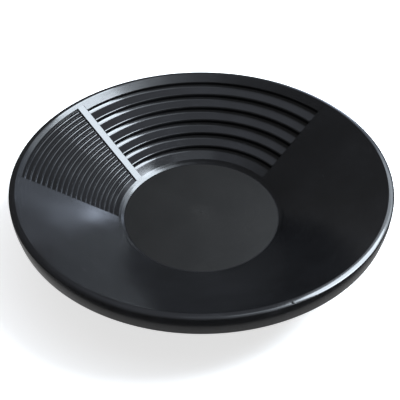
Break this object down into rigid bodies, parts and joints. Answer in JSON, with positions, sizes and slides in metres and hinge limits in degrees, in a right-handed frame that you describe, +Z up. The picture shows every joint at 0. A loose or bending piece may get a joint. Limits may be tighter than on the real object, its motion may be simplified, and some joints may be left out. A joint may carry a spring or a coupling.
{
  "type": "gold pan",
  "caption": "Round conical gold pan with a flat floor, a turned-down rim, and a coarse and a fine bank of riffles side by side on its wall.",
  "frame": {"origin": "centre of the pan's flat underside", "axes": "+Z up along the pan's axis; the middle of the coarse riffle bank is towards +Y and the divider bar towards -X +Y"},
  "size_m": [0.3564, 0.3564, 0.0699],
  "materials": {
    "wall_black": "black moulded polypropylene with a satin sheen",
    "floor_black": "black moulded polypropylene with a fine matte grain"
  },
  "bodies": {
    "root": {"floor_plate": "floor_black", "base_ring": "wall_black", "smooth_wall": "wall_black", "coarse_top_band": "wall_black", "coarse_riffle_1": "wall_black", "coarse_riffle_2": "wall_black", "coarse_riffle_3": "wall_black", "coarse_riffle_4": "wall_black", "coarse_riffle_5": "wall_black", "coarse_landing": "wall_black", "coarse_end_web": "wall_black", "divider_bar": "wall_black", "fine_backing": "wall_black", "fine_top_band": "wall_black", "fine_riffles": "wall_black", "rim_top": "wall_black", "rim_skirt": "wall_black"}
  },
  "joints": []
}
